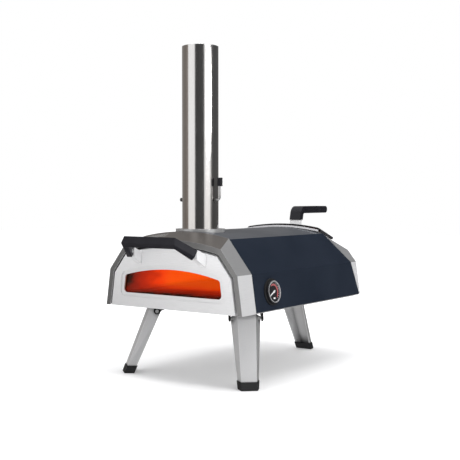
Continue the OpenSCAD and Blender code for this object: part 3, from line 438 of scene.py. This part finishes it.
# Near-black steel for the mouth frame
near_black_steel = brushed_metal("near_black_steel", (0.016, 0.013, 0.012), 0.5, ALONG_X, metallic=0.3)
door_steel = brushed_metal("door_steel", (0.79, 0.79, 0.795), 0.42, ALONG_X, 0.00001, door_painted_light, 0.35)
tube_steel = brushed_metal("tube_steel", (0.86, 0.855, 0.85), 0.14, ALONG_Z, 0.000008, tint=heat_tint)
flange_steel = brushed_metal("flange_steel", (0.50, 0.50, 0.50), 0.24, ALONG_X, metallic=0.5)
screw_steel = brushed_metal("screw_steel", (0.68, 0.68, 0.68), 0.3, ALONG_X)
leg_metal = brushed_metal("leg_metal", (0.62, 0.62, 0.625), 0.48, ALONG_Z, 0.00001, leg_shade, 0.4)
brass = brushed_metal("brass", (0.66, 0.5, 0.24), 0.3, ALONG_Z)
shell_paint = painted("shell_paint", (0.0088, 0.0138, 0.0245), 0.4, shine=0.22, painted_roof_sheen=(0.07, 0.075, 0.085))
hatch_paint = painted("hatch_paint", (0.010, 0.010, 0.012), 0.42, shine=0.2, fold_highlight=0.15)
bracket_paint = painted("bracket_paint", (0.010, 0.010, 0.011), 0.45, shine=0.15)
bezel = bezel_finish("bezel")
dial_paint = printed_dial("dial_paint", face=(0.012, 0.012, 0.014), ink=(0.9, 0.9, 0.9))
needle_paint = painted("needle_paint", (0.85, 0.85, 0.85), 0.5)
iron = painted("iron", (0.05, 0.048, 0.046), 0.7, 0.0002)
nylon = moulded("nylon", (0.008, 0.0078, 0.0115), 0.32, shine=0.32)
rubber = moulded("rubber", (0.012, 0.012, 0.013), 0.6)
fibre_board = fibre("fibre_board", (0.8, 0.78, 0.72))
fire_lit_liner = fire_lit_surface("fire_lit_liner", (0.008, 0.006, 0.005), 0.6, 1.0)
fire_lit_stone = fire_lit_surface("fire_lit_stone", (0.03, 0.022, 0.015), 0.9, 0.9)
glass = clear_glass("glass", (0.99, 0.86, 0.72))
lens_glass = clear_glass("lens_glass", (0.97, 0.97, 0.97))

MATERIAL_OF_SLOT = {
    "steel_sheet": sheet_steel,
    "collar_steel": collar_steel,
    "door_steel": door_steel,
    "chimney_steel": tube_steel,
    "shell_paint": shell_paint,
    "hatch_paint": hatch_paint,
    "bracket_paint": bracket_paint,
    "insulation": fibre_board,
    "stone": fire_lit_stone,
    "seal": rubber,
    "rubber": rubber,
    "magnet": bracket_paint,
    "iron": iron,
    "nylon": nylon,
    "glass": glass,
    "fastener": screw_steel,
    "leg_metal": leg_metal,
    "dial": dial_paint,
    "needle": needle_paint,
    "brass": brass,
}
MATERIAL_OF_NODE = {
    "chimney_flange": flange_steel,
    "hatch_frame": lip_steel,
    "rear_cover": cover_steel,
    "ash_drawer": cover_steel,
    "inner_liner": fire_lit_liner,
    "flame_baffle": fire_lit_liner,
    "firebox": fire_lit_liner,
    "stone_tray": fire_lit_liner,
    "mouth_frame": near_black_steel,
    "thermometer_lens": lens_glass,
    "thermometer_housing": bezel,
}

for part in frame["record"]["subparts"]:
    piece = nodes[part["node"]]
    material = MATERIAL_OF_NODE.get(part["node"], MATERIAL_OF_SLOT[part["material_slot"]])
    piece.data.materials.clear()
    piece.data.materials.append(material)


# ---- Light, floor and camera ----
STRIP_WIDTH = 0.25
FLOOR_SIZE = 16
FLOOR_GAP = 0.0005  # keeps the feet off the floor's own plane
FADE_START, FADE_END = 0.5, 1.2


def panels(t, direction):
    """The ring of bright and dark panels that metal sees around the oven, by the direction it looks in."""
    around = t.math("ARCTAN2", t.dot(direction, TO_RIGHT), t.dot(direction, TO_CAMERA))
    azimuth = t.remap(around, -math.pi, math.pi, 0, 1)
    return t.ramp(azimuth, [
        (0.0, (0.30, 0.29, 0.28)), (0.20, (0.17, 0.15, 0.135)), (0.27, (0.24, 0.21, 0.19)), (0.285, 0.95),
        (0.402, 0.95), (0.418, 0.045), (0.567, 0.06), (0.582, 0.95), (0.675, 0.95), (0.70, 0.25),
        (0.73, 0.06), (0.90, 0.08), (1.0, (0.30, 0.29, 0.28)),
    ])


def studio_world():
    """A white room to the camera, and the ring of panels to the metal."""
    world = bpy.data.worlds.new("studio")
    bpy.context.scene.world = world
    world.use_nodes = True
    t = Tree(world.node_tree)
    direction = t.add("ShaderNodeTexCoord").outputs["Generated"]
    height = t.add("ShaderNodeSeparateXYZ", {0: direction}).outputs["Z"]
    seen_in_metal = t.mix(t.remap(height, 0.6, 0.9, 0, 1), panels(t, direction), (0.8, 0.8, 0.82))
    path = t.add("ShaderNodeLightPath").outputs
    soft = t.mix(path["Is Glossy Ray"], (0.85, 0.85, 0.86), seen_in_metal)
    colour = t.mix(path["Is Camera Ray"], soft, (1, 1, 1))
    t.show(t.add("ShaderNodeBackground", {"Color": colour, "Strength": 1.0}), "ShaderNodeOutputWorld")


def strip_light(name, place, target, length, power):
    data = bpy.data.lights.new(name, "AREA")
    data.shape = "RECTANGLE"
    data.size = length
    data.size_y = STRIP_WIDTH
    data.energy = power
    light = bpy.data.objects.new(name, data)
    bpy.context.scene.collection.objects.link(light)
    light.location = place
    light.rotation_euler = (Vector(target) - Vector(place)).to_track_quat("-Z", "Y").to_euler()


def floor():
    """A pale floor that fades to white away from the oven."""
    bpy.ops.mesh.primitive_grid_add(
        x_subdivisions=4, y_subdivisions=4, size=FLOOR_SIZE, location=(0, FRONT_EDGE, -FLOOR_GAP)
    )
    plane = bpy.context.object
    plane.name = "studio_floor"
    material, t = new_material("floor_white")
    matte = t.add("ShaderNodeBsdfDiffuse", {"Color": grey(0.95)})
    axes = t.axes()
    reach = t.length(axes["X"], axes["Y"])
    fade = t.remap(reach, FADE_START, FADE_END, 0.09, 0.4)
    lift = t.add("ShaderNodeEmission", {"Color": grey(1.0), "Strength": fade})
    both = t.add("ShaderNodeAddShader", {0: matte.outputs[0], 1: lift.outputs[0]})
    # Metal sees the panels carried on across the floor, a little dimmer, so that its bands don't stop short
    incoming = t.add("ShaderNodeNewGeometry").outputs["Incoming"]
    looking = t.add("ShaderNodeVectorMath", {0: incoming, "Scale": -1.0}, operation="SCALE").outputs[0]
    mirrored = t.add("ShaderNodeEmission", {"Color": panels(t, looking), "Strength": 0.9})
    is_glossy = t.add("ShaderNodeLightPath").outputs["Is Glossy Ray"]
    t.show(t.add("ShaderNodeMixShader", {0: is_glossy, 1: both.outputs[0], 2: mirrored.outputs[0]}))
    plane.data.materials.append(material)


def camera():
    data = bpy.data.cameras.new("camera")
    data.lens = FOCAL_LENGTH_MM
    data.sensor_width = SENSOR_WIDTH_MM
    data.clip_end = CLIP_END
    eye = bpy.data.objects.new("camera", data)
    bpy.context.scene.collection.objects.link(eye)
    forward = -TO_CAMERA * math.cos(VIEW_PITCH) - Vector((0, 0, math.sin(VIEW_PITCH)))
    eye.location = CAMERA_PLACE
    eye.rotation_euler = forward.to_track_quat("-Z", "Y").to_euler()
    bpy.context.scene.camera = eye


studio_world()
floor()
camera()
strip_light("overhead", (0.2, FRONT_EDGE - 0.2, 2.4), (0, FRONT_EDGE + 0.3, 0.2), length=2.2, power=28)
strip_light("from_right", (2.2, FRONT_EDGE + 0.2, 0.9), (0.1, FRONT_EDGE + 0.3, 0.25), length=1.4, power=14)
bpy.context.scene.view_settings.view_transform = "Standard"
